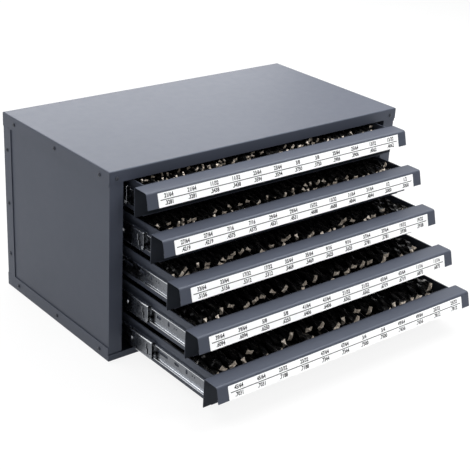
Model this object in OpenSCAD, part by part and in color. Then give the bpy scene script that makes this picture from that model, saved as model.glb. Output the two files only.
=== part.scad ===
// Drill bit drawer case: a folded steel case with five drawers on ball bearing slides.
// Millimetres. The origin is the centre of the underside, X to the right, Y to the back, Z up.
// Drawers are numbered from 1 at the top, and stand open by the shares in the Rest section.

/* [Case] */
// Outside width of the case
case_w = 660; // [560:5:900]
// Thickness of the case's sheet steel
sheet = 1.5; // [1:0.1:2]
// Height of the side flanges of the cover and of the base
flange_h = 26.5; // [22:0.5:32]
// Width of the rear panel's flanges on the sides
rear_flange_w = 26.6; // [22:0.2:34]
// Height of the cover's front flange, above the top drawer
header_h = 20.8; // [14:0.5:26]
// Height of the base's front flange, under the bottom drawer
base_lip_h = 13; // [8:0.5:18]
// Width of the upright at each side of the drawers, from the case's side
stile_w = 28.4; // [22:0.2:33]
// Outside radius of the case's bends
bend_r = 2.4; // [1.8:0.1:4]

/* [Drawers] */
// Height of a drawer's tray
tray_h = 55.5; // [48:0.5:80]
// Free height between one tray and the next
tray_gap = 8.6; // [7:0.1:16]
// Free height under the bottom tray, over the base's lip
under_gap = 3.8; // [2:0.1:8]
// Free height over the top drawer, under the header
header_gap = 2.5; // [1.5:0.1:10]
// Thickness of the tray's sheet steel
tray_t = 1; // [0.8:0.1:1.4]
// Height of the folded edge along the top of a tray's side
hem_h = 5.5; // [4:0.5:7]
// Height of a tray's back wall
back_h = 45; // [38:1:47]

/* [Drawer fronts] */
// Depth of a front's flat top
hood_d = 33; // [26:0.5:44]
// Height of a front's sloping face
face_h = 27.8; // [24:0.2:34]
// How far the sloping face leans out at its lower edge
face_lean = 7.5; // [4:0.5:12]
// Height of a front at its back plate
front_h = 53.5; // [44:0.5:54]
// Thickness of a front's sheet steel
front_t = 1.2; // [1:0.1:1.6]
// Height of the hem folded up behind the sloping face
face_hem_h = 8; // [5:0.5:12]
// Free width between a front's end and the stile
front_side_gap = 3.4; // [1.5:0.1:6]

/* [Slides] */
// Length of a slide, which is its full travel too
slide_l = 300; // [260:10:450]
// Thickness of a slide, from the post to the tray
slide_t = 12.7; // [12.7:0.1:14]
// Height of the fixed member
outer_h = 45.7; // [45:0.1:48]
// Height of the middle member
mid_h = 35; // [34.4:0.1:35.6]
// Height of the drawer member
inner_h = 27.5; // [27:0.1:28.2]
// Wall of the three members
slide_wall = 1.2; // [1:0.05:1.3]
// Distance from the case's side to the slide's mounting face
slide_inset = 37.3; // [35:0.1:60]

/* [Contents] */
// Compartments across a drawer
compartments = 12; // [8:1:14]
// Height of a divider at the back
divider_h = 43; // [36:1:45]
// Height of a divider at the front
divider_front_h = 27; // [20:1:32]
// Thickness of a divider
divider_t = 0.8; // [0.6:0.1:1.2]
// Diameter of the smallest drill
smallest_d = 8.334375; // [6.8:0.1:9.5]
// How much thicker each drill size is than the one before
thicker_by = 0.396875; // [0.3:0.01:0.42]
// Overall length of a drill
bit_l = 148; // [110:1:148]
// Thickest shank
shank_max_d = 12.7; // [10:0.1:12.7]

/* [Labels] */
// Width of a label strip
label_w = 554; // [480:2:560]
// Height of a label strip
label_h = 24; // [20:0.2:25]
// Thickness of a label strip
label_t = 0.4; // [0.2:0.1:0.6]

/* [Hidden] */
$fn = 48;

paint = [0.23, 0.25, 0.30];
dark_paint = [0.16, 0.17, 0.21];
zinc = [0.70, 0.72, 0.74];
white_film = [0.95, 0.95, 0.94];
black_oxide = [0.10, 0.10, 0.11];

// Rest: how far each drawer and each middle member stands open, as shares of its travel
rest_open_shares = [0.193, 0.354, 0.513, 0.687, 0.864];
rest_mid_shares = [0.200, 0.539, 0.067, 0.648, 0.740];

// Fits and small sizes
seat_gap = 0.3;                      // air between sheets that overlap at a seam
overrun = 1;                         // how far a cutter runs past what it cuts
slide_end_gap = 3;                   // from a front's back plate to the slide's end
rear_room = 18;                      // from the slide's end to the case's back
corner_slit = 0.4;                   // gap where two flanges meet at a corner
drawers = 5;

// Case
pitch = tray_h + tray_gap;
lowest_top = base_lip_h + under_gap + tray_h;
case_h = lowest_top + (drawers - 1) * pitch + header_gap + header_h;
case_d = hood_d + slide_end_gap + slide_l + rear_room;
half_w = case_w / 2;
front_y = -case_d / 2;
rear_y = case_d / 2;
step_in = sheet + seat_gap;          // how far the side panels stand inside the flanges
panel_x = half_w - step_in;          // outer face of a side panel
panel_in = panel_x - sheet;          // inner face of a side panel
stile_lip = 12;                      // fold at the stile's inner edge
rear_return = 16;                    // fold at a side panel's rear edge

// Screws
screw_head_d = 7;
screw_head_h = 2.2;
screw_shank_d = 3.4;
screw_hole_d = 3.8;
screw_recess_d = 3;
screw_recess_h = 1;
screw_reach = 2 * sheet + seat_gap;  // through a flange and the panel behind it
screw_line = 13.2;                   // from a case edge to its row of screws
screw_depth_shares = [-0.835, -0.03, 0.766];
rear_screw_shares = [0.204, 0.500, 0.801];
header_screw_in = 14.5;

// Slide places
slide_x = half_w - slide_inset;      // mounting face of a slide
tray_half = slide_x - slide_t;       // outer face of a tray's side
outer_y = front_y + hood_d + slide_end_gap;
post_w = 26;
post_sheet = 1.5;
hem_clear = 0.65;                    // from a tray's folded edge to the slide under it
tray_top_gap = 0.5;                  // how far a tray's edge is below the front's top
slide_drop = tray_top_gap + hem_h + hem_clear + outer_h / 2;
mid_short = 4;                       // how much shorter the middle member is at each end
mid_l = slide_l - 2 * mid_short;
mid_travel = slide_l / 2;

// Slide sections, from the mounting face towards the drawer
outer_air = 0.85;                    // from the fixed member's lips to the tray's side
mid_back_air = 0.8;                  // from the fixed member's wall to the middle member
mid_front_air = 1.1;                 // from the middle member's lips to the tray's side
inner_leg_in = 6.4;                  // how far the drawer member's legs enter the middle one
lip_air = 0.4;                       // from a lip's edge to the member inside it
outer_depth = slide_t - outer_air;
mid_from = slide_wall + mid_back_air;
mid_to = slide_t - mid_front_air;
inner_from = mid_to - inner_leg_in;
outer_lip = (outer_h - mid_h) / 2 - lip_air;
mid_lip = (mid_h - inner_h) / 2 - lip_air;
outer_r = 3;
mid_r = 2.6;
inner_r = 2;
ball_gap = 0.05;
outer_ball_d = (outer_h - mid_h) / 2 - slide_wall - 2 * ball_gap;
inner_ball_d = (mid_h - inner_h) / 2 - slide_wall - 2 * ball_gap;
cage_l = 100;
cage_t = 0.5;
cage_air = 0.2;
balls = 5;

// Places along the slides, as shares of a member's length
outer_slot_shares = [0.06, 0.28, 0.50, 0.72, 0.94];
mid_slot_shares = [0.19, 0.81];
inner_pin_shares = [0.143, 0.163, 0.93];
inner_upright_shares = [0.215, 0.62];
inner_slot_shares = [0.307, 0.70, 0.86];
inner_window_share = 0.44;
outer_cage_share = 0.56;
inner_cage_share = 0.08;
slot_d = 5.5;
slot_l = 13;
upright_h = 8.5;
pin_hole_d = 2.8;
window_l = 30;
inner_up = 2;                        // from the drawer member's middle up to its row of holes

// Middle member: the web is pressed in between two ridges, and its end has a stop and a lug
relief_h = 22;
relief_d = 0.5;
mid_window_w = 8;
mid_window_h = 6.5;
stop_from_end = 13;
stop_slot_h = 17;
stop_slot_w = 4;
stop_jog = 2.6;                      // step between the halves of the stop
lug_out = 0.5;
lug_from_end = 2.5;
lug_w = 5;
lug_h = 6;
end_bevel = 4;

// Tray and contents
tray_l = slide_l + 2 * slide_end_gap;
tray_in_w = 2 * (tray_half - tray_t);
cell = tray_in_w / compartments;
divider_rise = 70;                   // length of a divider's sloping front part
bit_gap = 0.2;
bit_clear = 4;                       // from the tray's front wall to the drill tips
tip_angle = 59;
flute_share = 0.62;

// Drawer front
hood_r = 5.2;                        // bend along a front's upper edge
back_bend_r = 2.4;                   // bend from a front's top to its back plate
lean_angle = atan(face_lean / face_h);
fold_l = (face_h - front_t * (1 + sin(lean_angle))) / cos(lean_angle); // down the face to its fold
fold_z = -fold_l * cos(lean_angle);
label_air = 0.02;                    // film of glue under a label strip
label_down = 4;                         // from a front's upper edge to its label

function drawer_top(k) = lowest_top + (drawers - 1 - k) * pitch;
function open_y(k) = -rest_open_shares[k] * slide_l;
function mid_y(k) = -rest_mid_shares[k] * mid_travel;
// Plane where a drawer's front meets its tray
function back_plane(k) = front_y + hood_d + open_y(k);
// Two compartments side by side hold the same size
function size_of(k, c) = smallest_d + (k * compartments + c - c % 2) / 2 * thicker_by;

// Extrudes an outline in Y and Z along X, centred
module along_x(l) {
    translate([-l / 2, 0, 0]) rotate([90, 0, 90]) linear_extrude(l) children();
}

// Extrudes an outline in X and Z from y to y + l
module along_y(y, l) {
    translate([0, y + l, 0]) rotate([90, 0, 0]) linear_extrude(l) children();
}

module both_sides() {
    children();
    mirror([1, 0, 0]) children();
}

// Rectangle centred on X whose two top corners are rounded
module round_top(w, h, r) {
    translate([-w / 2, 0]) square([w, h - r]);
    translate([r - w / 2, 0]) square([w - 2 * r, h]);
    for (s = [-1, 1]) translate([s * (w / 2 - r), h - r]) circle(r);
}

// Rectangle with four rounded corners, from x0 to x1, centred on Y
module round_box(x0, x1, h, r) {
    translate([x0, r - h / 2]) square([x1 - x0, h - 2 * r]);
    translate([x0 + r, -h / 2]) square([x1 - x0 - 2 * r, h]);
    for (x = [x0 + r, x1 - r], s = [-1, 1]) translate([x, s * (h / 2 - r)]) circle(r);
}

// Solid with flat sides whose four top edges are bent round
module bent_block(w, d, h, r) {
    intersection() {
        along_x(w) round_top(d, h, r);
        along_y(-d / 2, d) round_top(w, h, r);
    }
}

// Shallow pan, open side down, with four flanges of one height and a slit at each corner
module pan(h) {
    difference() {
        bent_block(case_w, case_d, h, bend_r);
        translate([0, 0, -overrun])
            bent_block(case_w - 2 * sheet, case_d - 2 * sheet, h - sheet + overrun, bend_r - sheet);
        for (s = [-1, 1], y = [front_y - overrun, rear_y - sheet])
            translate([s * (half_w - sheet - corner_slit / 2) - corner_slit / 2, y, -overrun])
                cube([corner_slit, sheet + overrun, h - bend_r + overrun]);
    }
}

// Places along X, Y and Z, with Z outwards, of the screws in a cover or base flange at height z
module at_flange_screws(z) {
    both_sides() for (share = screw_depth_shares)
        translate([half_w, share * rear_y, z]) rotate([0, 90, 0]) children();
}

module at_rear_screws() {
    both_sides() for (share = rear_screw_shares)
        translate([half_w, rear_y - screw_line, share * case_h]) rotate([0, 90, 0]) children();
}

module at_header_screws() {
    both_sides() translate([half_w - header_screw_in, front_y, case_h - screw_line])
        rotate([90, 0, 0]) children();
}

// Clearance hole for one screw, through a flange and the panel behind it
module screw_hole() {
    translate([0, 0, -screw_reach - overrun]) cylinder(h = screw_reach + 2 * overrun, d = screw_hole_d);
}

// The cover: a pan turned down over the case, cut away in front above the drawers
module top_cover() {
    color(paint) difference() {
        translate([0, 0, case_h - flange_h]) pan(flange_h);
        translate([-half_w - overrun, front_y - overrun, case_h - flange_h - overrun])
            cube([case_w + 2 * overrun, overrun + sheet, flange_h - header_h + overrun]);
        at_flange_screws(case_h - screw_line) screw_hole();
        at_header_screws() screw_hole();
    }
}

// The base: the same pan turned up, with a low lip in front
module base_tray() {
    color(paint) difference() {
        translate([0, 0, flange_h]) mirror([0, 0, 1]) pan(flange_h);
        translate([-half_w - overrun, front_y - overrun, base_lip_h])
            cube([case_w + 2 * overrun, overrun + sheet, flange_h]);
        at_flange_screws(screw_line) screw_hole();
    }
}

// Side panel seen from above: wall, stile with its lip, and rear return
module side_section() {
    y0 = front_y + step_in;
    y1 = rear_y - step_in;
    translate([panel_in, y0]) square([sheet, y1 - y0]);
    translate([half_w - stile_w, y0]) square([panel_x - half_w + stile_w, sheet]);
    translate([half_w - stile_w, y0]) square([sheet, stile_lip]);
    translate([panel_x - rear_return, y1 - sheet]) square([rear_return, sheet]);
}

module side_panel() {
    difference() {
        translate([0, 0, step_in]) linear_extrude(case_h - 2 * step_in) side_section();
        at_flange_screws(case_h - screw_line) screw_hole();
        at_flange_screws(screw_line) screw_hole();
        at_rear_screws() screw_hole();
        at_header_screws() screw_hole();
    }
}

module left_side_panel() { color(paint) mirror([1, 0, 0]) side_panel(); }
module right_side_panel() { color(paint) side_panel(); }

// The rear panel: a shallow channel that wraps both sides, between cover and base flanges
module rear_panel() {
    low = flange_h + seat_gap;
    tall = case_h - 2 * low;
    color(paint) difference() {
        translate([0, 0, low]) linear_extrude(tall) difference() {
            translate([0, rear_y - rear_flange_w]) round_top(case_w, rear_flange_w, bend_r);
            translate([0, rear_y - rear_flange_w - overrun])
                round_top(case_w - 2 * sheet, rear_flange_w - sheet + overrun, bend_r - sheet);
        }
        at_rear_screws() screw_hole();
    }
}

// A channel post on the side panel, which carries five slides on its inner leg
module slide_post(y) {
    z0 = sheet + seat_gap;
    depth = panel_in - slide_x;
    translate([slide_x, y, z0]) linear_extrude(case_h - 2 * z0) difference() {
        square([depth, post_w]);
        translate([post_sheet, post_sheet]) square([depth - 2 * post_sheet, post_w]);
    }
}

module slide_posts() {
    slide_post(outer_y);
    slide_post(outer_y + slide_l - post_w);
}

module left_slide_posts() { color(dark_paint) mirror([1, 0, 0]) slide_posts(); }
module right_slide_posts() { color(dark_paint) slide_posts(); }

// A pan head screw along Z, its seat at zero and its shank below
module screw() {
    difference() {
        union() {
            translate([0, 0, -screw_reach]) cylinder(h = screw_reach + overrun, d = screw_shank_d);
            rotate_extrude() intersection() {
                translate([0, screw_head_h - screw_head_d]) circle(screw_head_d, $fn = 96);
                square([screw_head_d / 2, screw_head_h]);
            }
        }
        translate([0, 0, screw_head_h - screw_recess_h])
            cylinder(h = screw_head_h, d = screw_recess_d, $fn = 6);
    }
}

module cover_screws() {
    color(dark_paint) {
        at_flange_screws(case_h - screw_line) screw();
        at_header_screws() screw();
    }
}

module base_screws() { color(dark_paint) at_flange_screws(screw_line) screw(); }
module rear_screws() { color(dark_paint) at_rear_screws() screw(); }

// Channel with curled lips: wall on the near side, open between the lips on the far side
module member_section(x0, x1, h, r, lip) {
    difference() {
        round_box(x0, x1, h, r);
        round_box(x0 + slide_wall, x1 - slide_wall, h - 2 * slide_wall, r - slide_wall);
        translate([x1 - slide_wall - overrun, lip - h / 2])
            square([slide_wall + 2 * overrun, h - 2 * lip]);
    }
}

// Drawer member: a plain channel, open towards the case's side
module inner_section() {
    difference() {
        round_box(inner_from, slide_t, inner_h, inner_r);
        round_box(inner_from - inner_r, slide_t - slide_wall, inner_h - 2 * slide_wall,
                  inner_r - slide_wall);
        translate([inner_from - overrun, -inner_h / 2 - overrun])
            square([inner_r + overrun, inner_h + 2 * overrun]);
    }
}

// Puts a slide section on the right side of drawer k, from y to y + l
module on_slide(k, y, l) {
    translate([slide_x, 0, drawer_top(k) - slide_drop]) mirror([1, 0, 0]) along_y(y, l) children();
}

// Cutter through a slide's walls, from an outline in Z and Y, at y and up from the slide's middle
module through_wall(k, y, up = 0) {
    translate([slide_x + overrun, y, drawer_top(k) - slide_drop + up]) rotate([0, -90, 0])
        linear_extrude(slide_t + 2 * overrun) children();
}

// Slot with round ends, l long
module slot(l) {
    for (s = [-1, 1]) translate([0, s * (l - slot_d) / 2]) circle(d = slot_d);
    translate([-slot_d / 2, (slot_d - l) / 2]) square([slot_d, l - slot_d]);
}

module slide_outer(k) {
    color(zinc) both_sides() difference() {
        on_slide(k, outer_y, slide_l) member_section(0, outer_depth, outer_h, outer_r, outer_lip);
        for (share = outer_slot_shares) through_wall(k, outer_y + share * slide_l) slot(slot_l);
    }
}

// Middle member: a channel whose web is pressed in between a ridge along its top and bottom
module mid_section() {
    difference() {
        union() {
            member_section(mid_from, mid_to, mid_h, mid_r, mid_lip);
            translate([mid_from + slide_wall / 2, -relief_h / 2 - relief_d])
                square([slide_wall / 2 + relief_d, relief_h + 2 * relief_d]);
        }
        translate([mid_from - overrun, -relief_h / 2]) square([overrun + relief_d, relief_h]);
    }
}

module slide_mid(k) {
    y0 = outer_y + mid_short + mid_y(k);
    z = drawer_top(k) - slide_drop;
    color(zinc) both_sides() difference() {
        union() {
            on_slide(k, y0, mid_l) mid_section();
            translate([slide_x - mid_from - slide_wall / 2, y0 + lug_from_end, z - mid_h / 2 + end_bevel])
                cube([slide_wall / 2 + lug_out, lug_w, lug_h]);
        }
        for (share = mid_slot_shares) through_wall(k, y0 + share * mid_l)
            square([mid_window_h, mid_window_w], center = true);
        for (s = [-1, 1]) through_wall(k, y0 + stop_from_end + s * stop_jog / 2, s * stop_slot_h / 4)
            square([stop_slot_h / 2 + stop_jog, stop_slot_w], center = true);
        through_wall(k, y0, -mid_h / 2) circle(r = end_bevel, $fn = 4);
    }
}

// One ball cage: a thin channel with a row of balls in each leg
module cage(k, y, x, leg, v, d) {
    on_slide(k, y, cage_l) difference() {
        translate([x, -v - cage_t / 2]) square([leg, 2 * v + cage_t]);
        translate([x + cage_t, cage_t / 2 - v]) square([leg, 2 * v - cage_t]);
    }
    for (i = [0 : balls - 1], s = [-1, 1])
        translate([slide_x - x - leg + d / 2 + cage_t, y + (i + 0.5) * cage_l / balls,
                   drawer_top(k) - slide_drop + s * v]) sphere(d = d, $fn = 24);
}

module ball_cages(k) {
    y0 = outer_y + mid_short + mid_y(k);
    outer_leg = mid_to - slide_wall - mid_from;
    inner_leg = inner_from + inner_r - mid_from;
    color(zinc) both_sides() {
        cage(k, y0 + outer_cage_share * mid_l, slide_wall + cage_air / 2, outer_leg,
             mid_h / 2 + ball_gap + outer_ball_d / 2, outer_ball_d);
        cage(k, y0 + inner_cage_share * mid_l, mid_from + slide_wall + relief_d + cage_air, inner_leg,
             inner_h / 2 + ball_gap + inner_ball_d / 2, inner_ball_d);
    }
}

module slide_inner(k) {
    y0 = back_plane(k) + slide_end_gap;
    color(zinc) both_sides() difference() {
        on_slide(k, y0, slide_l) inner_section();
        for (share = inner_pin_shares) through_wall(k, y0 + share * slide_l, inner_up)
            circle(d = pin_hole_d);
        for (share = inner_upright_shares) through_wall(k, y0 + share * slide_l, inner_up)
            rotate(90) slot(upright_h);
        for (share = inner_slot_shares) through_wall(k, y0 + share * slide_l, inner_up) slot(slot_l);
        through_wall(k, y0 + inner_window_share * slide_l, inner_up) slot(window_l);
    }
}

// Tray: floor, four walls, and a folded edge along the top of each side
module tray(k) {
    y0 = back_plane(k);
    top = drawer_top(k) - tray_top_gap;
    low = drawer_top(k) - tray_h;
    color(dark_paint) {
        difference() {
            translate([-tray_half, y0, low]) cube([2 * tray_half, tray_l, top - low]);
            translate([tray_t - tray_half, y0 + tray_t, low + tray_t])
                cube([tray_in_w, tray_l - 2 * tray_t, tray_h]);
            translate([tray_t - tray_half, y0 + tray_l - tray_t - overrun, low + back_h])
                cube([tray_in_w, tray_t + 2 * overrun, tray_h]);
        }
        both_sides() translate([tray_half, y0, top - hem_h]) cube([tray_t, tray_l, hem_h]);
    }
}

// A front's hood as Y and Z from its back plane, in by d all round, from its top down to z1
function lean_at(z) = -hood_d - face_lean * -z / face_h;

module hood_outline(d, z1) {
    in = d / cos(lean_angle);
    r = hood_r - d;
    back_r = back_bend_r - d;
    turn = (90 - lean_angle) / 2;
    reach = r * tan(turn);
    corner = [lean_at(-d) + in, -d];
    difference() {
        polygon([[-d, -d], corner, [lean_at(z1) + in, z1], [-d, z1]]);
        difference() {
            polygon([corner + [0, overrun], corner + [reach, 0],
                     corner + [reach, -r], corner + reach * [-sin(lean_angle), -cos(lean_angle)],
                     corner + [-overrun, 0]]);
            translate(corner + [reach, -r]) circle(r);
        }
        translate([-d - back_r, -d - back_r]) difference() {
            square(back_r + overrun);
            circle(back_r);
        }
    }
}

// One folded sheet, open at its ends: back plate, top, and a sloping face with a hem behind it
module front_section() {
    difference() {
        hood_outline(0, fold_z);
        hood_outline(front_t, fold_z - overrun);
    }
    translate([-front_t, -front_h]) square([front_t, front_h - back_bend_r]);
    translate([-hood_d, 0]) rotate(-lean_angle) {
        translate([front_t, -fold_l]) circle(front_t);
        translate([front_t / 2, -fold_l]) square([front_t * 3 / 2, face_hem_h - front_t]);
    }
}

module drawer_front(k) {
    half = half_w - stile_w - front_side_gap;
    color(paint) translate([0, back_plane(k), drawer_top(k)]) along_x(2 * half) front_section();
}

// Divider seen from the side: low at the front, rising to its full height
module divider_outline(l) {
    polygon([[0, 0], [l, 0], [l, divider_h], [divider_rise, divider_h], [0, divider_front_h]]);
}

module dividers(k) {
    y0 = back_plane(k) + tray_t + seat_gap;
    l = tray_l - 2 * tray_t - 2 * seat_gap;
    color(dark_paint) translate([0, y0, drawer_top(k) - tray_h + tray_t])
        for (i = [1 : compartments - 1])
            translate([(i - compartments / 2) * cell, 0, 0]) along_x(divider_t) divider_outline(l);
}

// Label strip on the sloping face
module label(k) {
    translate([0, back_plane(k) - hood_d, drawer_top(k)]) rotate([-lean_angle, 0, 0])
        color(white_film) translate([-label_w / 2, -label_air - label_t, -label_down - label_h])
            cube([label_w, label_t, label_h]);
}

// A drill along Y: point at zero, fluted length, then a shank no thicker than the largest chuck
module drill(d) {
    shank = min(d, shank_max_d);
    tip = d / 2 / tan(tip_angle);
    body = flute_share * bit_l;
    rotate([-90, 0, 0]) rotate_extrude()
        polygon([[0, 0], [d / 2, tip], [d / 2, body], [shank / 2, body + (d - shank) / 2],
                 [shank / 2, bit_l], [0, bit_l]]);
}

// One row of drills, against the left or the right side of each compartment
module bit_row(k, row, side) {
    y = back_plane(k) + tray_t + bit_clear + row * (bit_l + bit_gap);
    z = drawer_top(k) - tray_h + tray_t + bit_gap;
    for (c = [0 : compartments - 1]) {
        d = size_of(k, c);
        middle = (c + 0.5 - compartments / 2) * cell;
        reach = (cell - divider_t - d) / 2 - bit_gap;
        translate([middle + side * reach, y, z + d / 2]) drill(d);
    }
}

module drill_bits(k) {
    color(black_oxide) for (row = [0, 1]) {
        bit_row(k, row, -1);
        bit_row(k, row, 1);
    }
}

top_cover();
base_tray();
left_side_panel();
right_side_panel();
rear_panel();
left_slide_posts();
right_slide_posts();
cover_screws();
base_screws();
rear_screws();
slide_outer(0);  // slide_outer_1
slide_outer(1);  // slide_outer_2
slide_outer(2);  // slide_outer_3
slide_outer(3);  // slide_outer_4
slide_outer(4);  // slide_outer_5
slide_mid(0);  // slide_mid_1
slide_mid(1);  // slide_mid_2
slide_mid(2);  // slide_mid_3
slide_mid(3);  // slide_mid_4
slide_mid(4);  // slide_mid_5
ball_cages(0);  // ball_cages_1
ball_cages(1);  // ball_cages_2
ball_cages(2);  // ball_cages_3
ball_cages(3);  // ball_cages_4
ball_cages(4);  // ball_cages_5
slide_inner(0);  // slide_inner_1
slide_inner(1);  // slide_inner_2
slide_inner(2);  // slide_inner_3
slide_inner(3);  // slide_inner_4
slide_inner(4);  // slide_inner_5
tray(0);  // tray_1
tray(1);  // tray_2
tray(2);  // tray_3
tray(3);  // tray_4
tray(4);  // tray_5
drawer_front(0);  // drawer_front_1
drawer_front(1);  // drawer_front_2
drawer_front(2);  // drawer_front_3
drawer_front(3);  // drawer_front_4
drawer_front(4);  // drawer_front_5
dividers(0);  // dividers_1
dividers(1);  // dividers_2
dividers(2);  // dividers_3
dividers(3);  // dividers_4
dividers(4);  // dividers_5
label(0);  // label_1
label(1);  // label_2
label(2);  // label_3
label(3);  // label_4
label(4);  // label_5
drill_bits(0);  // drill_bits_1
drill_bits(1);  // drill_bits_2
drill_bits(2);  // drill_bits_3
drill_bits(3);  // drill_bits_4
drill_bits(4);  // drill_bits_5
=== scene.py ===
from math import atan, pi, radians, tan
from random import Random

import bmesh
import bpy
from mathutils import Matrix, Vector


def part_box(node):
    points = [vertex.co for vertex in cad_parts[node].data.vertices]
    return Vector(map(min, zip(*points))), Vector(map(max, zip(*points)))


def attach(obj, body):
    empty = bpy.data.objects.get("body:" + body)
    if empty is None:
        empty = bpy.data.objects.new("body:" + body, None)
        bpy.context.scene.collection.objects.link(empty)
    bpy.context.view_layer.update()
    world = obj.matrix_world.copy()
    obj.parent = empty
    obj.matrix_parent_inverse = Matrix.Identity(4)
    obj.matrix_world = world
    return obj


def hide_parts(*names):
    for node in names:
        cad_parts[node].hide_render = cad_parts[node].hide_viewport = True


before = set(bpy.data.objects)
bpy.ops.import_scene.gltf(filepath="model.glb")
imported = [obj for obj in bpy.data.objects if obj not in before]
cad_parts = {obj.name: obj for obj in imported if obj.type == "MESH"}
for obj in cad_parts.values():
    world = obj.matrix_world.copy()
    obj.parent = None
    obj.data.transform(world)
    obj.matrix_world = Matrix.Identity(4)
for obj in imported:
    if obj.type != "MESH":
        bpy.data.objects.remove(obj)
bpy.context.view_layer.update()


# The camera. It stands ahead of the case's left front corner, looks down on the case's top, and
# leans slightly to one side, as the photograph does.
camera_data = bpy.data.cameras.new("camera")
camera_data.lens = 86.27
camera_data.sensor_width = 36
camera_data.sensor_fit = "HORIZONTAL"
camera = bpy.data.objects.new("camera", camera_data)
camera.location = (-1.2526, -1.5904, 1.0180)
camera.rotation_euler = (radians(65.482), radians(-2.942), radians(-38.812))
bpy.context.collection.objects.link(camera)
bpy.context.scene.camera = camera
bpy.context.scene.view_settings.view_transform = "Standard"


# The studio's lamps: a soft box low behind the case that shines along its top, a large one over its
# back, one from the right over the drawers, and one in front for the labels.
def soft_box(name, place, aim, width, height, power):
    """A lamp of this width and height in metres, turned to its aim, with its power in watts."""
    lamp = bpy.data.lights.new(name, "AREA")
    lamp.shape = "RECTANGLE"
    lamp.size = width
    lamp.size_y = height
    lamp.energy = power
    box = bpy.data.objects.new(name, lamp)
    box.location = place
    box.rotation_euler = (Vector(place) - Vector(aim)).to_track_quat("Z", "Y").to_euler()
    box.visible_camera = False
    bpy.context.collection.objects.link(box)


case_middle = (0, -0.1, 0.2)
case_top = (0, 0, 0.35)
soft_box("box_behind", (1.15, 2.3, 1.0), case_top, width=1.8, height=1.1, power=18)
soft_box("box_over_back", (-0.5, 1.0, 2.05), case_middle, width=2.6, height=2.0, power=62)
soft_box("box_over_drawers", (1.15, -0.2, 2.1), case_middle, width=1.6, height=1.2, power=58)
soft_box("box_front", (0.5, -2.3, 2.1), case_middle, width=1.5, height=1.1, power=27)


# The air is plain grey light. Seen directly or in a reflection it is white, and in reflections it
# falls off towards the front, where a studio is dark.
def worked_out(tree, operation, first, second):
    """What the operation makes of two values, of which the second may be a plain number."""
    maths = tree.nodes.new("ShaderNodeMath")
    maths.operation = operation
    tree.links.new(first, maths.inputs[0])
    if isinstance(second, float):
        maths.inputs[1].default_value = second
    else:
        tree.links.new(second, maths.inputs[1])
    return maths.outputs[0]


def any_of(tree, *rays):
    """One where a ray is of any of these kinds."""
    kind = tree.nodes.new("ShaderNodeLightPath")
    found = kind.outputs[rays[0]]
    for ray in rays[1:]:
        found = worked_out(tree, "MAXIMUM", found, kind.outputs[ray])
    return found


def background(tree, colour, strength):
    """An even light from all round."""
    light = tree.nodes.new("ShaderNodeBackground")
    light.inputs["Color"].default_value = (*colour, 1)
    light.inputs["Strength"].default_value = strength
    return light.outputs[0]


def white_by_share(tree, share, plain, white, surface):
    """A surface that goes from plain to white as the share goes from zero to one."""
    choice = tree.nodes.new("ShaderNodeMixShader")
    tree.links.new(share, choice.inputs["Fac"])
    tree.links.new(plain, choice.inputs[1])
    tree.links.new(white, choice.inputs[2])
    tree.links.new(choice.outputs[0], surface)


world = bpy.data.worlds.new("studio_air")
world.use_nodes = True
air = world.node_tree
air.nodes.clear()
sky = air.nodes.new("ShaderNodeOutputWorld")
towards = air.nodes.new("ShaderNodeTexCoord")
parts = air.nodes.new("ShaderNodeSeparateXYZ")
behind = air.nodes.new("ShaderNodeMapRange")
behind.inputs["From Min"].default_value = -0.5
behind.inputs["From Max"].default_value = 0.4
air.links.new(towards.outputs["Generated"], parts.inputs["Vector"])
air.links.new(parts.outputs["Y"], behind.inputs["Value"])
mirrored = worked_out(air, "MULTIPLY", behind.outputs["Result"],
                      any_of(air, "Is Glossy Ray", "Is Transmission Ray"))
white_share = worked_out(air, "MAXIMUM", mirrored, any_of(air, "Is Camera Ray"))
grey_air = background(air, (0.95, 0.975, 1.0), 0.34)
white_air = background(air, (1, 1, 1), 1.0)
white_by_share(air, white_share, grey_air, white_air, sky.inputs["Surface"])
bpy.context.scene.world = world


# The floor is a sheet of white paper, wider than any view. It keeps a faint part of the case's
# shadow, and the rest of it shows as white.
def new_finish(name):
    """An empty finish, with its nodes and its shader."""
    finish = bpy.data.materials.new(name)
    finish.use_nodes = True
    return finish, finish.node_tree, finish.node_tree.nodes["Principled BSDF"]


def as_mesh(name, shape):
    """The finished shape as a mesh."""
    mesh = bpy.data.meshes.new(name)
    shape.to_mesh(mesh)
    shape.free()
    return mesh


def made(name, shape, *coats):
    """The finished shape as an object with its coats."""
    mesh = as_mesh(name, shape)
    for coat in coats:
        mesh.materials.append(coat)
    thing = bpy.data.objects.new(name, mesh)
    bpy.context.collection.objects.link(thing)
    return thing


floor_reach = 6
paper_white = 0.88
paper, paper_tree, paper_shader = new_finish("white_paper")
paper_shader.inputs["Base Color"].default_value = (0.9, 0.9, 0.9, 1)
paper_shader.inputs["Roughness"].default_value = 0.9
paper_shader.inputs["Specular IOR Level"].default_value = 0.1
blank = paper_tree.nodes.new("ShaderNodeEmission")
blank.inputs["Color"].default_value = (1, 1, 1, 1)
looked_at = any_of(paper_tree, "Is Camera Ray", "Is Glossy Ray", "Is Transmission Ray")
blank_share = worked_out(paper_tree, "MULTIPLY", looked_at, paper_white)
white_by_share(paper_tree, blank_share, paper_shader.outputs[0], blank.outputs[0],
               paper_tree.nodes["Material Output"].inputs["Surface"])
sheet = bmesh.new()
bmesh.ops.create_grid(sheet, x_segments=1, y_segments=1, size=floor_reach)
floor = made("floor", sheet, paper)


# The case is folded from sheet steel and sprayed with slate enamel: a cover pan, a base pan, two
# side panels with uprights, and a rear panel. Its folds keep a small round that catches the light.
case_corner = 0.00035
touching = 1e-6
flat_within = radians(0.5)
corner_from = radians(35)


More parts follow.
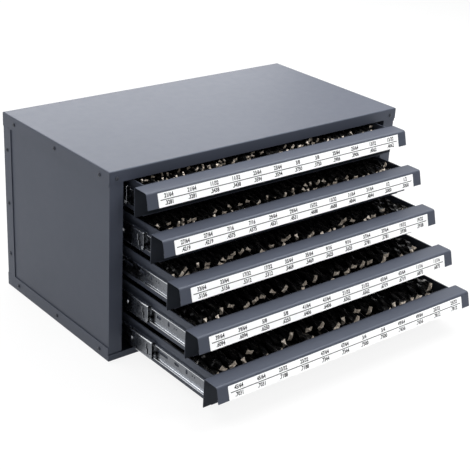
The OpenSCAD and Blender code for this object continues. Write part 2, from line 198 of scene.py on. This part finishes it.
def noise(tree, scale, detail, along=(1, 1, 1)):
    """Noise in Object coordinates, drawn out on each axis that along makes small."""
    place = tree.nodes.new("ShaderNodeTexCoord")
    stretch = tree.nodes.new("ShaderNodeMapping")
    stretch.inputs["Scale"].default_value = along
    clouds = tree.nodes.new("ShaderNodeTexNoise")
    clouds.inputs["Scale"].default_value = scale
    clouds.inputs["Detail"].default_value = detail
    tree.links.new(place.outputs["Object"], stretch.inputs["Vector"])
    tree.links.new(stretch.outputs["Vector"], clouds.inputs["Vector"])
    return clouds.outputs["Fac"]


def speckle(tree, scale, detail, low, high, along=(1, 1, 1)):
    """The same noise, with its middle range spread from low to high."""
    spread = tree.nodes.new("ShaderNodeMapRange")
    spread.inputs["From Min"].default_value = 0.3
    spread.inputs["From Max"].default_value = 0.7
    spread.inputs["To Min"].default_value = low
    spread.inputs["To Max"].default_value = high
    tree.links.new(noise(tree, scale, detail, along), spread.inputs["Value"])
    return spread.outputs["Result"]


def two_tone(tree, shader, first, second, share):
    """A colour that drifts from the first to the second by the share."""
    tint = tree.nodes.new("ShaderNodeMix")
    tint.data_type = "RGBA"
    tint.inputs["A"].default_value = (*first, 1)
    tint.inputs["B"].default_value = (*second, 1)
    tree.links.new(share, tint.inputs["Factor"])
    tree.links.new(tint.outputs["Result"], shader.inputs["Base Color"])


def uneven_gloss(tree, shader, scale, detail, low, high):
    """A roughness that drifts from low to high."""
    tree.links.new(speckle(tree, scale, detail, low, high), shader.inputs["Roughness"])


def relief(tree, shader, strength, depth, height):
    """Fine bumps, as deep as depth where the height is one."""
    bump = tree.nodes.new("ShaderNodeBump")
    bump.inputs["Strength"].default_value = strength
    bump.inputs["Distance"].default_value = depth
    tree.links.new(height, bump.inputs["Height"])
    tree.links.new(bump.outputs["Normal"], shader.inputs["Normal"])


def enamel(name, thin, thick, roughness, peel_scale=1400, peel_depth=0.00003):
    """Sprayed paint: its colour drifts from thin to thick, over a fine orange peel."""
    paint, tree, shader = new_finish(name)
    two_tone(tree, shader, thin, thick, speckle(tree, scale=7, detail=4, low=0, high=1))
    uneven_gloss(tree, shader, scale=60, detail=3, low=roughness - 0.015, high=roughness + 0.015)
    shader.inputs["Specular IOR Level"].default_value = 0.3
    shader.inputs["Specular Tint"].default_value = (0.8, 0.88, 1, 1)
    peel = speckle(tree, scale=peel_scale, detail=2, low=0, high=1)
    relief(tree, shader, strength=0.5, depth=peel_depth, height=peel)
    return paint


def folded(node, name, body, coat, corner):
    """The node's sheet with its corners broken to a small radius, in place of the node."""
    metal = bmesh.new()
    metal.from_mesh(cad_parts[node].data)
    bmesh.ops.remove_doubles(metal, verts=metal.verts, dist=touching)
    bmesh.ops.dissolve_limit(metal, angle_limit=flat_within, verts=metal.verts, edges=metal.edges)
    for face in metal.faces:
        face.smooth = True
        face.material_index = 0
    piece = made(name, metal, coat)
    corners = piece.modifiers.new("corners", "BEVEL")
    corners.width = corner
    corners.segments = 2
    corners.limit_method = "ANGLE"
    corners.angle_limit = corner_from
    flats = piece.modifiers.new("flats", "WEIGHTED_NORMAL")
    flats.keep_sharp = True
    flats.weight = 100
    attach(piece, body)
    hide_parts(node)
    return piece


slate = enamel("slate_enamel", (0.051, 0.057, 0.077), (0.047, 0.053, 0.072), 0.46)
for node, name in (("top_cover", "cover_sheet"), ("base_tray", "base_sheet"),
                   ("left_side_panel", "left_side_sheet"), ("right_side_panel", "right_side_sheet"),
                   ("rear_panel", "rear_sheet")):
    folded(node, name, "case", slate, case_corner)


# The slide posts are channels spot welded inside the side panels, dipped in a thin dark coat. The
# screws that hold the case together are pan head machine screws with a black finish.
post_corner = 0.0003
screw_corner = 0.00015
dark_dip = enamel("dark_dip", (0.030, 0.032, 0.040), (0.022, 0.024, 0.030), 0.5)
screw_black = enamel("screw_black", (0.045, 0.048, 0.058), (0.035, 0.037, 0.045), 0.35)
for side in ("left", "right"):
    folded(f"{side}_slide_posts", f"{side}_post_channels", "case", dark_dip,
           post_corner)
for place in ("cover", "base", "rear"):
    folded(f"{place}_screws", f"{place}_screw_heads", "case", screw_black,
           screw_corner)


# The slides are roll formed steel with zinc plate: a fixed member on the posts, a middle member, and
# a drawer member on the tray, with steel balls in cages between them. The zinc on the members is
# darkened as painted shade, and a much lighter zinc on their lips and front ends is a painted
# highlight.
drawers = range(1, 6)
member_corner = 0.0003
lip_depth = 0.0022
squarely = 0.9
dull_share = 0.82


def plated(name, colour, roughness, along):
    """Bright metal, duller in patches, with fine lines drawn out as along says."""
    plate, tree, shader = new_finish(name)
    shader.inputs["Metallic"].default_value = 1.0
    dull = [dull_share * part for part in colour]
    two_tone(tree, shader, dull, colour, speckle(tree, scale=35, detail=4, low=0, high=1))
    uneven_gloss(tree, shader, scale=120, detail=2, low=roughness - 0.06, high=roughness + 0.08)
    lines = noise(tree, scale=900, detail=3, along=along)
    relief(tree, shader, strength=0.35, depth=0.00004, height=lines)
    return plate


def second_coat(piece, coat, faces):
    """A second finish on some of the piece's faces."""
    piece.data.materials.append(coat)
    for face in faces:
        face.material_index = 1


# A darkened zinc for the members, whose darkness is painted shade, and a light zinc for the lips and
# front ends, whose brightness is a painted highlight.
zinc = plated("zinc_painted_shade", (0.19, 0.2, 0.22), 0.25, along=(1, 0.02, 1))
lip_painted_highlight = plated("zinc_painted_highlight", (0.78, 0.8, 0.83), 0.2, along=(1, 0.02, 1))
ball_steel = plated("ball_steel", (0.7, 0.7, 0.71), 0.16, along=(1, 1, 1))
for n in drawers:
    for node, name, body in ((f"slide_outer_{n}", f"fixed_members_{n}", "case"),
                             (f"slide_mid_{n}", f"middle_channels_{n}", f"middle_members_{n}"),
                             (f"slide_inner_{n}", f"drawer_members_{n}", f"drawer_{n}")):
        low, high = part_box(node)
        member = folded(node, name, body, zinc, member_corner)
        # The lips and front ends take the light zinc as a painted highlight.
        lips = [face for face in member.data.polygons
                if not low.z + lip_depth < face.center.z < high.z - lip_depth]
        front_ends = [face for face in member.data.polygons if face.normal.y < -squarely]
        second_coat(member, lip_painted_highlight, lips + front_ends)
    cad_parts[f"ball_cages_{n}"].data.materials.clear()
    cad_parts[f"ball_cages_{n}"].data.materials.append(ball_steel)


# Each drawer is a thin steel tray with a folded edge on each side, upright dividers between its
# compartments, and a hooded front. The inside of the hood and the front's undersides get a darker
# coat, which is painted shade, and the dividers' upward faces get light bare metal, which is a
# painted highlight along their upper edges.
tray_corner = 0.0002
front_corner = 0.0004
divider_corner = 0.0002
back_plate_depth = 0.0024
partly = 0.5
tray_paint = enamel("tray_enamel", (0.045, 0.051, 0.069), (0.041, 0.046, 0.063), 0.46)
hood_painted_shade = enamel("hood_painted_shade", (0.016, 0.018, 0.024), (0.012, 0.014, 0.019), 0.75)
divider_top_painted_highlight = plated("divider_top_painted_highlight", (0.6, 0.57, 0.56), 0.45, along=(1, 1, 1))
for n in drawers:
    folded(f"tray_{n}", f"tray_sheet_{n}", f"drawer_{n}", tray_paint, tray_corner)
    front = folded(f"drawer_front_{n}", f"front_sheet_{n}", f"drawer_{n}", slate,
                   front_corner)
    back_plate_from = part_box(f"drawer_front_{n}")[1].y - back_plate_depth
    # The front's undersides, the back plate's face and the slope's inside get the darker coat as
    # painted shade.
    facing_down = [face for face in front.data.polygons if face.normal.z < -partly]
    back_plate = [face for face in front.data.polygons
                  if face.normal.y < -squarely and face.center.y > back_plate_from]
    inside_slope = [face for face in front.data.polygons
                    if face.normal.y > partly and face.center.y < back_plate_from]
    second_coat(front, hood_painted_shade, facing_down + back_plate + inside_slope)
    sheets = folded(f"dividers_{n}", f"divider_sheets_{n}", f"drawer_{n}", dark_dip,
                    divider_corner)
    # The dividers' upward faces take the light metal as a painted highlight along their upper edges.
    upper_edges = [face for face in sheets.data.polygons if face.normal.z > squarely]
    second_coat(sheets, divider_top_painted_highlight, upper_edges)


# The label is a strip of white film on the front's sloping face. A thin line runs along its middle,
# with each drill size above it in fractions of an inch and below it in decimals.
strip_height = 0.024
strip_thick = 0.0004
strip_corner = 0.0012
slope_out = 0.0075
slope_height = 0.0278
slope_lean = atan(slope_out / slope_height)
columns = 12
columns_width = 0.558
pitch = columns_width / columns
columns_per_size = 2
first_size = 21
line_height = 0.0015
line_inset = 0.004
number_height = 0.0096
number_squeeze = 0.82
number_bold = 0.0004
number_off_line = 0.006
ink_thick = 0.00004


def column_middle(column):
    """How far a column's middle lies to the right of the drawer's middle."""
    return (column + 0.5 - columns / 2) * pitch


def drill_size(n, column):
    """A column's drill size in sixty-fourths of an inch, rising across each drawer in turn."""
    return first_size + columns // columns_per_size * (n - 1) + column // columns_per_size


def size_words(sixty_fourths):
    """A size as a fraction in its lowest terms, and as a decimal without its leading zero."""
    top, bottom = sixty_fourths, 64
    while top % 2 == 0:
        top //= 2
        bottom //= 2
    return f"{top}/{bottom}", f"{sixty_fourths / 64:.4f}"[1:]


def lettering(words):
    """One number as a thin closed mesh, centred on the origin and facing up Z."""
    curve = bpy.data.curves.new("number", "FONT")
    curve.body = words
    curve.size = number_height
    curve.align_x = "CENTER"
    curve.align_y = "CENTER"
    curve.resolution_u = 2
    curve.offset = number_bold
    curve.extrude = ink_thick / 2
    writing = bpy.data.objects.new("number", curve)
    bpy.context.collection.objects.link(writing)
    bpy.context.view_layer.update()
    printed = writing.evaluated_get(bpy.context.evaluated_depsgraph_get())
    mesh = bpy.data.meshes.new_from_object(printed)
    bpy.data.objects.remove(writing)
    bpy.data.curves.remove(curve)
    return mesh


film = enamel("label_film", (0.94, 0.94, 0.935), (0.91, 0.91, 0.905), 0.32,
              peel_scale=800, peel_depth=0.00001)
ink, ink_tree, ink_shader = new_finish("grey_ink")
ink_shader.inputs["Base Color"].default_value = (0.008, 0.008, 0.01, 1)
uneven_gloss(ink_tree, ink_shader, scale=300, detail=2, low=0.55, high=0.75)
for n in drawers:
    low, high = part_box(f"label_{n}")
    strip_length = high.x - low.x
    on_slope = Matrix.Translation((low + high) / 2) @ Matrix.Rotation(pi / 2 - slope_lean, 4, "X")
    strip = bmesh.new()
    bmesh.ops.create_cube(strip, size=1,
                          matrix=Matrix.Diagonal((strip_length, strip_height, strip_thick, 1)))
    upright = [e for e in strip.edges if abs(e.verts[0].co.z - e.verts[1].co.z) > strip_thick / 2]
    bmesh.ops.bevel(strip, geom=upright, offset=strip_corner, segments=4, profile=0.5,
                    affect="EDGES", material=-1)
    bmesh.ops.transform(strip, matrix=on_slope, verts=strip.verts)
    label = made(f"label_strip_{n}", strip, film)
    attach(label, f"drawer_{n}")
    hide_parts(f"label_{n}")

    printing = bmesh.new()
    on_film = Matrix.Translation((0, 0, strip_thick / 2))
    line_length = strip_length - 2 * line_inset
    bmesh.ops.create_cube(printing, size=1,
                          matrix=on_film @ Matrix.Diagonal((line_length, line_height, ink_thick, 1)))
    for column in range(columns):
        fraction, decimal = size_words(drill_size(n, column))
        for words, up in ((fraction, number_off_line), (decimal, -number_off_line)):
            number = lettering(words)
            number.transform(Matrix.Translation((column_middle(column), up, strip_thick / 2))
                             @ Matrix.Diagonal((number_squeeze, 1, 1, 1)))
            printing.from_mesh(number)
            bpy.data.meshes.remove(number)
    bmesh.ops.transform(printing, matrix=on_slope, verts=printing.verts)
    sizes = made(f"size_print_{n}", printing, ink)
    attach(sizes, f"drawer_{n}")


# The drills have two wound flutes, and reduced shanks where they are thick. They are black from
# their oxide bath, with bright ground points, whose light, mostly matt beige colour is partly the
# ground steel and partly painted glint. They lie in two rows in each compartment, and the upper
# ones of the front row lie loose, with their points up.
sixty_fourth = 0.000396875
drill_length = 0.148
flute_length = 0.62 * drill_length
flute_lead = pi / tan(radians(30))
flute_profile = (1, 0.94, 0.34)
flute_corners = 2 * len(flute_profile)
ring_turn = radians(58)
ring_margin = 0.0001
point_angle = radians(59)
sharp_from = radians(46)
shank_share = 0.98
shank_sides = 8
thickest_shank = 0.0127


def steel_finish(name, dark, light, roughness, metallic, along):
    """Hardened steel in blotches from dark to light, drawn out as along says."""
    steel, tree, shader = new_finish(name)
    shader.inputs["Metallic"].default_value = metallic
    blotches = speckle(tree, scale=260, detail=4, low=-0.8, high=1, along=along)
    two_tone(tree, shader, dark, light, blotches)
    uneven_gloss(tree, shader, scale=400, detail=2, low=roughness - 0.1, high=roughness + 0.12)
    return steel


def only(kind, results):
    """Those of an operator's results that are of one kind."""
    return [result for result in results if isinstance(result, kind)]


def twist_drill(size):
    """One drill along Y with its point at zero: ground point, two wound flutes, plain shank."""
    tip = size / 2 / tan(point_angle)
    wound_length = flute_length - tip
    turn = 2 * pi * wound_length / (flute_lead * size)
    rings = round(turn / ring_turn)
    drill = bmesh.new()
    bmesh.ops.create_circle(drill, cap_ends=False, radius=size / 2, segments=flute_corners)
    for spoke, corner in enumerate(drill.verts):
        corner.co *= flute_profile[spoke % len(flute_profile)]
    bmesh.ops.rotate(drill, verts=drill.verts, matrix=Matrix.Rotation(-pi / 2, 3, "X"))
    bmesh.ops.translate(drill, verts=drill.verts, vec=(0, tip, 0))
    first_ring = drill.edges[:]
    wound = bmesh.ops.spin(drill, geom=drill.verts[:] + drill.edges[:], cent=(0, 0, 0), axis=(0, 1, 0),
                           dvec=(0, wound_length / rings, 0), angle=turn, steps=rings,
                           use_duplicate=False)
    bmesh.ops.holes_fill(drill, sides=flute_corners,
                         edges=only(bmesh.types.BMEdge, wound["geom_last"]))
    ground = bmesh.ops.extrude_edge_only(drill, edges=first_ring)
    bmesh.ops.pointmerge(drill, verts=only(bmesh.types.BMVert, ground["geom"]), merge_co=(0, 0, 0))
    bmesh.ops.recalc_face_normals(drill, faces=drill.faces)
    shank_from = flute_length - size / 4
    shank_radius = min(size * shank_share, thickest_shank) / 2
    bmesh.ops.create_cone(drill, cap_ends=True, segments=shank_sides, radius1=shank_radius,
                          radius2=shank_radius, depth=drill_length - shank_from,
                          matrix=Matrix.Translation((0, (drill_length + shank_from) / 2, 0))
                          @ Matrix.Rotation(pi / 2, 4, "X"))
    for face in drill.faces:
        face.smooth = True
        face.material_index = 1 if face.calc_center_median().y < tip else 0
    for edge in drill.edges:
        start, end = (corner.co.y for corner in edge.verts)
        between_rings = (abs(start - end) < touching
                         and tip + ring_margin < start < flute_length - ring_margin)
        edge.smooth = between_rings or edge.calc_face_angle(pi) < sharp_from
    return as_mesh("twist_drill", drill)


tray_floor = 0.0012
tip_clear = 0.0022
row_step = 0.1482
divider_thick = 0.0008
room_play = 0.0004
heap_top = 0.0535
least_layers = 3
most_layers = 4
flat_layers = 2
layer_share = 0.92
flat_reach = 0.0005
loose_reach = 0.034
loose_drop = 0.004
loose_skew = 0.02
chance = Random(7)


def fill_compartment(heap, size, middle, tray_front, floor_top):
    """One compartment's drills, in layers side by side, each turned its own way in its place."""
    single = twist_drill(size)
    room = pitch - divider_thick - room_play
    across = int(room / size)
    slack = room - across * size
    layers = max(least_layers, min(most_layers, int(heap_top / size)))
    for row, height in enumerate((layers, flat_layers)):
        for layer in range(height):
            loose = layer >= flat_layers
            for place in range(across):
                rear = size * (0.5 + layer_share * layer)
                front = rear
                if loose:
                    front = heap_top - size / 2 - chance.uniform(0, loose_drop)
                    front -= (layers - 1 - layer) * size / 2
                lean = atan((front - rear) / drill_length)
                x = middle - room / 2 + size * (place + 0.5)
                x += slack * (place + chance.random()) / across
                y = tray_front + tip_clear + row * row_step
                y += chance.uniform(0, loose_reach if loose else flat_reach)
                turned = Matrix.Rotation(chance.uniform(-loose_skew, loose_skew) * loose, 4, "Z")
                rolled = Matrix.Rotation(chance.uniform(0, pi), 4, "Y")
                before = len(heap.verts)
                heap.from_mesh(single)
                heap.verts.ensure_lookup_table()
                bmesh.ops.transform(heap, verts=heap.verts[before:],
                                    matrix=Matrix.Translation((x, y, floor_top + front)) @ turned
                                    @ Matrix.Rotation(-lean, 4, "X") @ rolled)
    bpy.data.meshes.remove(single)


drill_oxide = steel_finish("black_oxide", (0.028, 0.028, 0.03), (0.22, 0.21, 0.2), 0.24, 0.85,
                           along=(1, 0.1, 1))
# The ground points are light and mostly matt beige: partly the bright ground steel, partly painted
# glint.
ground_steel_and_glint = steel_finish("ground_points_and_painted_glint", (0.38, 0.32, 0.26), (0.98, 0.88, 0.75), 0.4, 0.15,
                            along=(1, 1, 1))
for n in drawers:
    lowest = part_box(f"tray_{n}")[0]
    heap = bmesh.new()
    for column in range(columns):
        fill_compartment(heap, sixty_fourth * drill_size(n, column), column_middle(column),
                         tray_front=lowest.y, floor_top=lowest.z + tray_floor)
    drills = made(f"drill_heap_{n}", heap, drill_oxide, ground_steel_and_glint)
    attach(drills, f"drawer_{n}")
    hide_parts(f"drill_bits_{n}")
